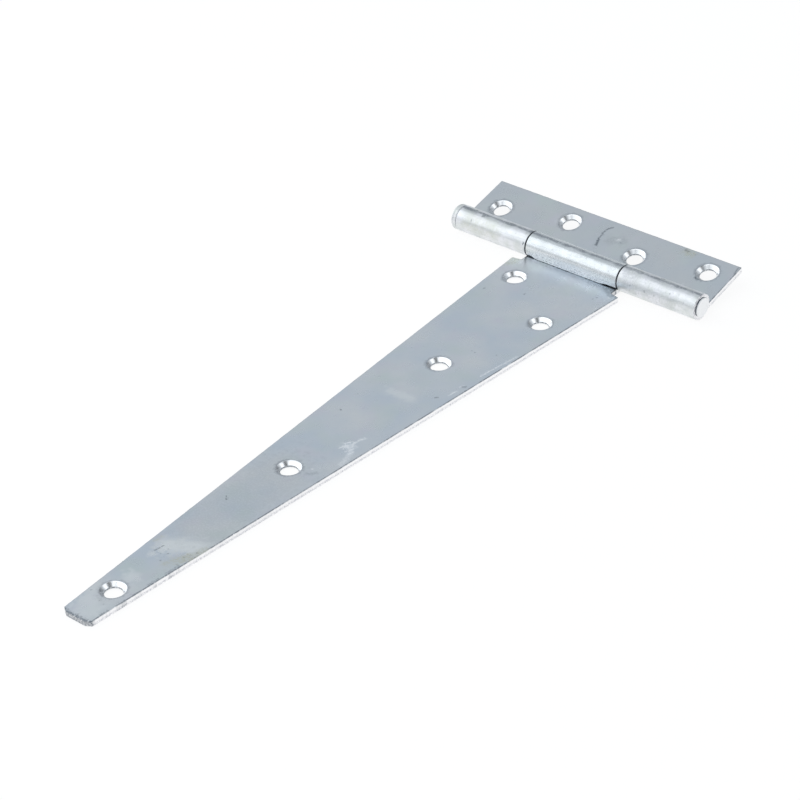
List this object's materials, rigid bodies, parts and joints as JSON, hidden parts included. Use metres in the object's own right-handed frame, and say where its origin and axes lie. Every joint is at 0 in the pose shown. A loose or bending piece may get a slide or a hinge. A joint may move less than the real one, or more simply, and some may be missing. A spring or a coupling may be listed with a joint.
{
  "type": "tee hinge",
  "caption": "Tee hinge with a long tapered strap leaf and a short cross leaf, rolled knuckles on a headed pin and countersunk screw holes.",
  "frame": {"origin": "on the strap's underside, below the pin's axis and midway along the centre knuckle", "axes": "+X along the pin, +Y from the strap's tip towards the cross leaf, +Z out of the countersunk side"},
  "size_m": [0.1313, 0.3315, 0.0116],
  "materials": {
    "galvanised_sheet": "dull zinc coating over rolled steel sheet",
    "galvanised_pin": "zinc coating over a steel rod with hammered ends"
  },
  "bodies": {
    "strap": {"strap_leaf": "galvanised_sheet"},
    "cross": {"cross_leaf": "galvanised_sheet", "hinge_pin": "galvanised_pin"}
  },
  "joints": [
    {"name": "leaf_fold", "type": "hinge", "parent": "strap", "child": "cross", "pos_m": [0, 0, 0.00582], "axis": [1, 0, 0], "range_deg": [-118, 177]}
  ]
}
